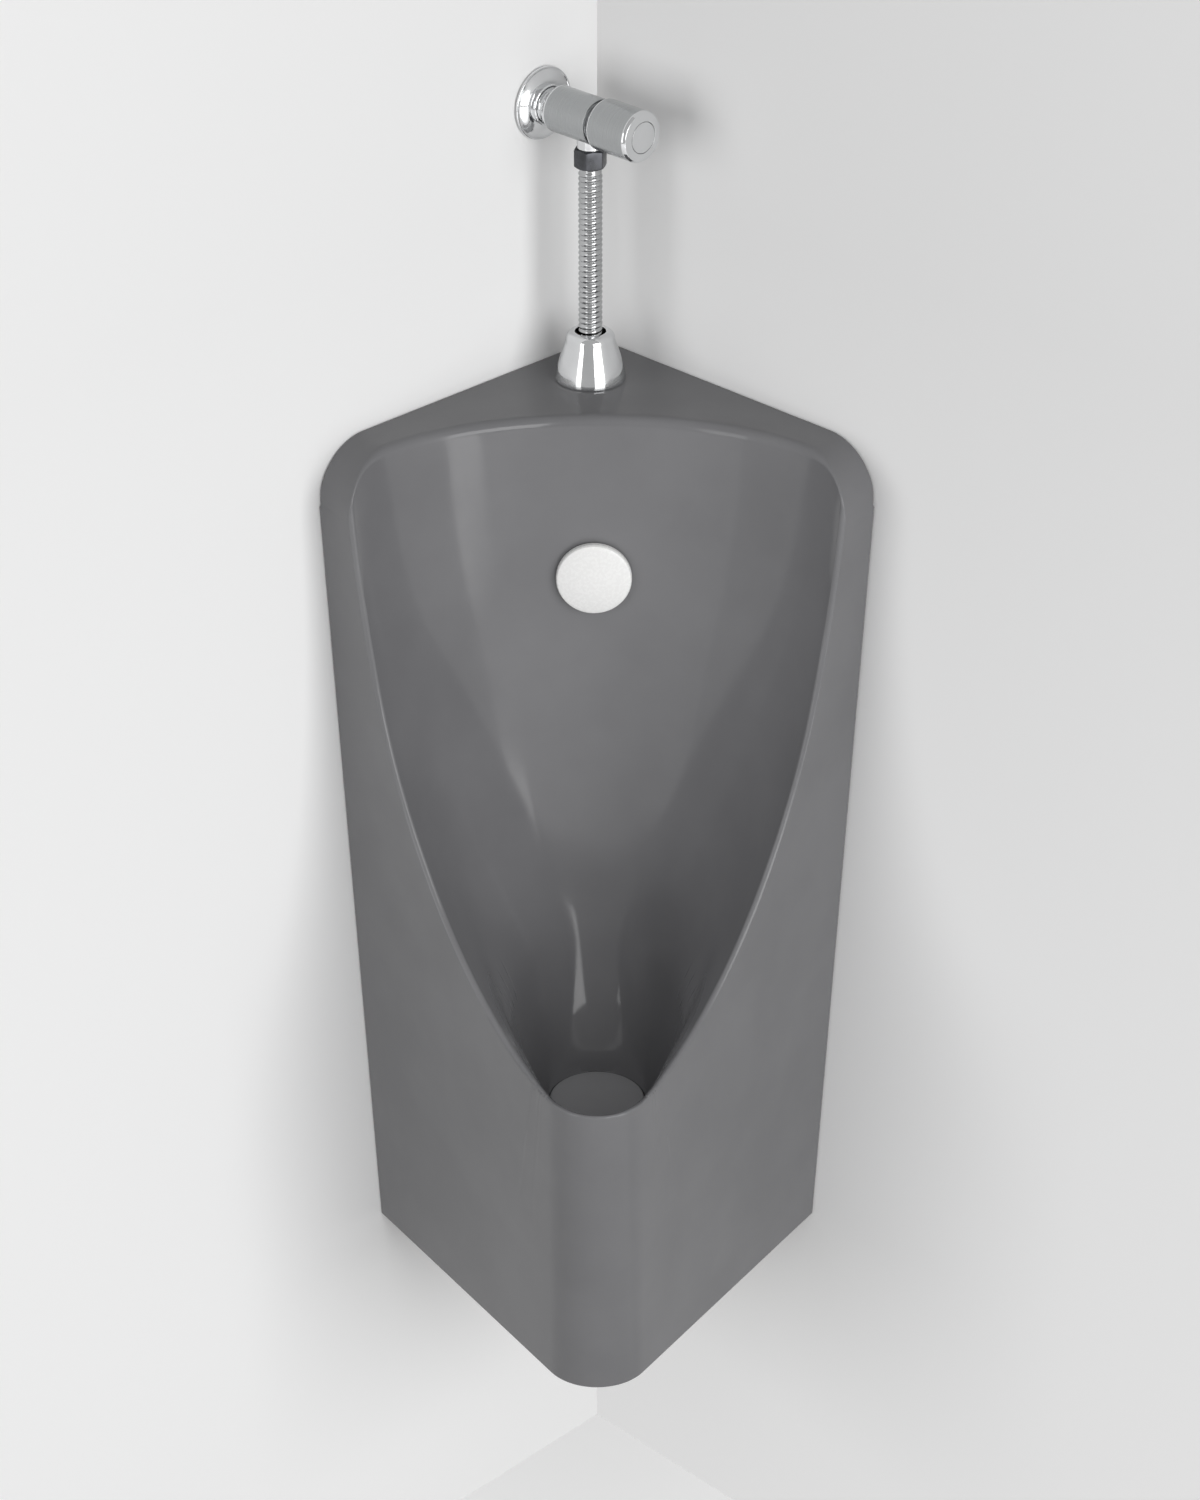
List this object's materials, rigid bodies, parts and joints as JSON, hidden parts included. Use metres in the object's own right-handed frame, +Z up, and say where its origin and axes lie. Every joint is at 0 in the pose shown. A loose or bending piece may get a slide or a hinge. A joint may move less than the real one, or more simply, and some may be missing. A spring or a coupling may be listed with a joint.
{
  "type": "corner urinal",
  "caption": "Corner urinal with an open pointed bowl, flat side panels and a rounded nose, fed by a wall-mounted push-button flush valve through a corrugated hose.",
  "frame": {"origin": "the corner line of the room's two walls, at the height of the ceramic body's underside", "axes": "+Z up; -Y out of the corner along the mirror plane of the body, towards the user; +X to the user's right; the two walls are the planes y = -|x|"},
  "size_m": [0.4392, 0.4608, 1.007],
  "materials": {
    "glaze": "gloss",
    "chrome": "polished",
    "brushed_chrome": "satin",
    "steel": "satin",
    "dark_steel": "satin",
    "brass": "satin",
    "white_plastic": "gloss",
    "grey_plastic": "matte",
    "rubber": "matte"
  },
  "bodies": {
    "urinal": {"urinal_body": "glaze", "left_hanger": "steel", "right_hanger": "steel", "lower_screws": "steel", "screw_washers": "white_plastic", "wall_plugs": "grey_plastic", "inlet_nipple": "brass", "wall_flange": "chrome", "valve_body": "brushed_chrome", "valve_bonnet": "brass", "bonnet_gasket": "rubber", "stem_o_ring": "rubber", "return_spring": "steel", "upper_hose_nut": "dark_steel", "upper_hose_washer": "rubber", "corrugated_hose": "steel", "lower_hose_nut": "dark_steel", "lower_hose_washer": "rubber", "inlet_spigot": "brass", "inlet_seal": "rubber", "spreader_cap": "white_plastic", "spreader_spigot": "white_plastic", "spreader_gasket": "rubber", "waste_fitting": "steel", "waste_upper_gasket": "rubber", "waste_lower_gasket": "rubber", "waste_lock_nut": "dark_steel", "trap_inlet_nut": "chrome", "trap_inlet_seal": "rubber", "trap_body": "chrome", "trap_cup": "chrome", "trap_cup_seal": "rubber", "trap_outlet_nut": "chrome", "trap_outlet_seal": "rubber", "waste_pipe": "chrome"},
    "button": {"push_button": "brushed_chrome", "button_disc": "chrome", "valve_stem": "brass", "valve_disc": "brass", "seat_washer": "rubber", "disc_nut": "brass"},
    "cover": {"waste_cover": "glaze"},
    "bell": {"bell_cover": "chrome"}
  },
  "joints": [
    {"name": "button_press", "type": "slide", "parent": "urinal", "child": "button", "axis": [-0.7071, 0.7071, 0], "range_m": [0, 0.005], "stiffness_N_per_m": 1500, "deforming": ["return_spring"]},
    {"name": "cover_lift", "type": "slide", "parent": "urinal", "child": "cover", "axis": [0, 0, 1], "range_m": [0, 0.12]},
    {"name": "bell_lift", "type": "slide", "parent": "urinal", "child": "bell", "axis": [0, 0, 1], "range_m": [0, 0.13]}
  ]
}
